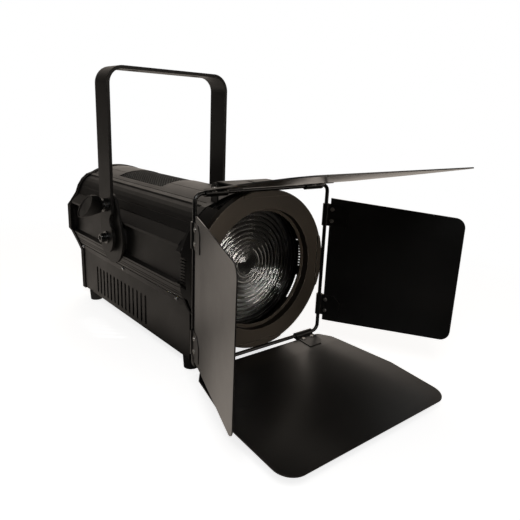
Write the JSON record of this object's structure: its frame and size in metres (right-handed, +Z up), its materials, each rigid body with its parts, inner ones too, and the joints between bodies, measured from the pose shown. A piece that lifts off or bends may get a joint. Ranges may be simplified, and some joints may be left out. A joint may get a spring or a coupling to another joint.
{
  "type": "fresnel spotlight",
  "caption": "Stage spotlight with a stepped fresnel lens, a sliding LED light source, a tilting strap yoke with lock knobs, and a rotating barndoor with hinged leaves.",
  "frame": {"origin": "centre of the two clamp slots on the yoke's top face, with the yoke upright", "axes": "+Z up out of the clamp face; the beam leaves along -Y; +X is the right-hand side seen from the front of the lamp looking along +Y"},
  "size_m": [0.4166, 0.7748, 0.471],
  "materials": {
    "powder_coat": "matte textured powder coat on aluminium",
    "cover_coat": "matte textured powder coat",
    "grille_coat": "matte powder coat",
    "cast_coat": "powder-coated casting",
    "yoke_coat": "matte powder coat",
    "door_coat": "matte powder coat",
    "rod_coat": "glossy black coat",
    "clip_steel": "black-coated steel",
    "rivet_steel": "dulled steel",
    "zinc_steel": "zinc-plated steel",
    "bright_steel": "bright steel",
    "spun_aluminium": "satin",
    "heat_sink_metal": "anodised",
    "bronze": "sintered bronze",
    "rubber": "matte",
    "fibre": "fibre friction lining",
    "black_plastic": "matte",
    "knob_plastic": "grained nylon",
    "button_plastic": "satin",
    "socket_metal": "nickel-plated",
    "screen": "gloss",
    "driver_case": "black case",
    "black_steel": "black-oxide steel",
    "emitter": "phosphor-coated light source on a white board",
    "lens_glass": "clear pressed glass"
  },
  "bodies": {
    "housing": {"left_side_panel": "powder_coat", "right_side_panel": "powder_coat", "front_casting": "powder_coat", "rear_frame": "powder_coat", "rear_panel": "powder_coat", "base_tray": "powder_coat", "lens_barrel": "powder_coat", "accessory_holder": "powder_coat", "latch_bracket": "powder_coat", "safety_eye": "powder_coat", "lens_retaining_ring": "powder_coat", "top_cover": "cover_coat", "top_grille": "grille_coat", "feet": "rubber", "housing_screws": "zinc_steel", "tilt_bosses": "cast_coat", "friction_rings": "fibre", "pivot_bolts": "black_steel", "guide_rods": "bright_steel", "fresnel_lens": "lens_glass", "engine_plates": "zinc_steel", "fan_frame": "black_plastic", "power_sockets": "black_plastic", "display_bezel": "black_plastic", "dmx_sockets": "socket_metal", "display_window": "screen", "electronics": "driver_case"},
    "yoke": {"yoke_strap": "yoke_coat", "brake_plates": "yoke_coat"},
    "left_lock": {"left_lock_knob": "knob_plastic", "left_lock_stud": "black_steel"},
    "right_lock": {"right_lock_knob": "knob_plastic", "right_lock_stud": "black_steel"},
    "latch": {"accessory_latch": "powder_coat"},
    "fan": {"fan_rotor": "black_plastic"},
    "menu_button_1": {"menu_button_1": "button_plastic"},
    "menu_button_2": {"menu_button_2": "button_plastic"},
    "menu_button_3": {"menu_button_3": "button_plastic"},
    "menu_button_4": {"menu_button_4": "button_plastic"},
    "zoom_drive": {"zoom_screw": "bright_steel", "zoom_knob": "knob_plastic"},
    "carriage": {"led_carriage": "zinc_steel", "carriage_bushes": "bronze", "heat_sink": "heat_sink_metal", "led_module": "emitter", "reflector_cup": "spun_aluminium"},
    "barndoor": {"barndoor_ring": "door_coat", "rod_frame": "rod_coat"},
    "top_door": {"top_door": "door_coat", "top_door_clips": "clip_steel", "top_door_rivets": "rivet_steel"},
    "bottom_door": {"bottom_door": "door_coat", "bottom_door_clips": "clip_steel", "bottom_door_rivets": "rivet_steel"},
    "left_door": {"left_door": "door_coat", "left_door_clips": "clip_steel", "left_door_rivets": "rivet_steel"},
    "right_door": {"right_door": "door_coat", "right_door_clips": "clip_steel", "right_door_rivets": "rivet_steel"}
  },
  "joints": [
    {"name": "yoke_tilt", "type": "hinge", "parent": "housing", "child": "yoke", "pos_m": [0, 0, -0.293], "axis": [1, 0, 0], "range_deg": [-110, 45]},
    {"name": "left_lock_turn", "type": "hinge", "parent": "yoke", "child": "left_lock", "pos_m": [0, -0.008, -0.233], "axis": [-1, 0, 0], "range_deg": [0, 270]},
    {"name": "right_lock_turn", "type": "hinge", "parent": "yoke", "child": "right_lock", "pos_m": [0, -0.008, -0.233], "axis": [1, 0, 0], "range_deg": [0, 270]},
    {"name": "barndoor_turn", "type": "hinge", "parent": "housing", "child": "barndoor", "pos_m": [0, 0, -0.298], "axis": [0, 1, 0], "continuous": true},
    {"name": "top_door_hinge", "type": "hinge", "parent": "barndoor", "child": "top_door", "pos_m": [0, -0.3, -0.173], "axis": [-1, 0, 0], "range_deg": [-16.2, 94.8]},
    {"name": "bottom_door_hinge", "type": "hinge", "parent": "barndoor", "child": "bottom_door", "pos_m": [0, -0.3, -0.423], "axis": [1, 0, 0], "range_deg": [-10.4, 100.6]},
    {"name": "left_door_hinge", "type": "hinge", "parent": "barndoor", "child": "left_door", "pos_m": [-0.125, -0.3, -0.298], "axis": [0, 0, -1], "range_deg": [-110.5, 84.5]},
    {"name": "right_door_hinge", "type": "hinge", "parent": "barndoor", "child": "right_door", "pos_m": [0.125, -0.3, -0.298], "axis": [0, 0, 1], "range_deg": [-103, 82]},
    {"name": "accessory_latch_hinge", "type": "hinge", "parent": "housing", "child": "latch", "pos_m": [0, -0.238, -0.175], "axis": [-1, 0, 0], "range_deg": [0, 80]},
    {"name": "fan_spin", "type": "hinge", "parent": "housing", "child": "fan", "pos_m": [0, 0.2, -0.417], "axis": [0, 1, 0], "continuous": true},
    {"name": "zoom_screw_turn", "type": "hinge", "parent": "housing", "child": "zoom_drive", "pos_m": [0, 0, -0.373], "axis": [0, 1, 0], "range_deg": [-1081, 721]},
    {"name": "zoom_slide", "type": "slide", "parent": "housing", "child": "carriage", "axis": [0, 1, 0], "range_m": [-0.12, 0.08]},
    {"name": "menu_button_1_press", "type": "slide", "parent": "housing", "child": "menu_button_1", "axis": [0, -1, 0], "range_m": [0, 0.0015], "stiffness_N_per_m": 200},
    {"name": "menu_button_2_press", "type": "slide", "parent": "housing", "child": "menu_button_2", "axis": [0, -1, 0], "range_m": [0, 0.0015], "stiffness_N_per_m": 200},
    {"name": "menu_button_3_press", "type": "slide", "parent": "housing", "child": "menu_button_3", "axis": [0, -1, 0], "range_m": [0, 0.0015], "stiffness_N_per_m": 200},
    {"name": "menu_button_4_press", "type": "slide", "parent": "housing", "child": "menu_button_4", "axis": [0, -1, 0], "range_m": [0, 0.0015], "stiffness_N_per_m": 200}
  ],
  "couplings": [
    {"joint": "zoom_screw_turn", "follows": "zoom_slide", "rad_per_m": 157.08}
  ]
}
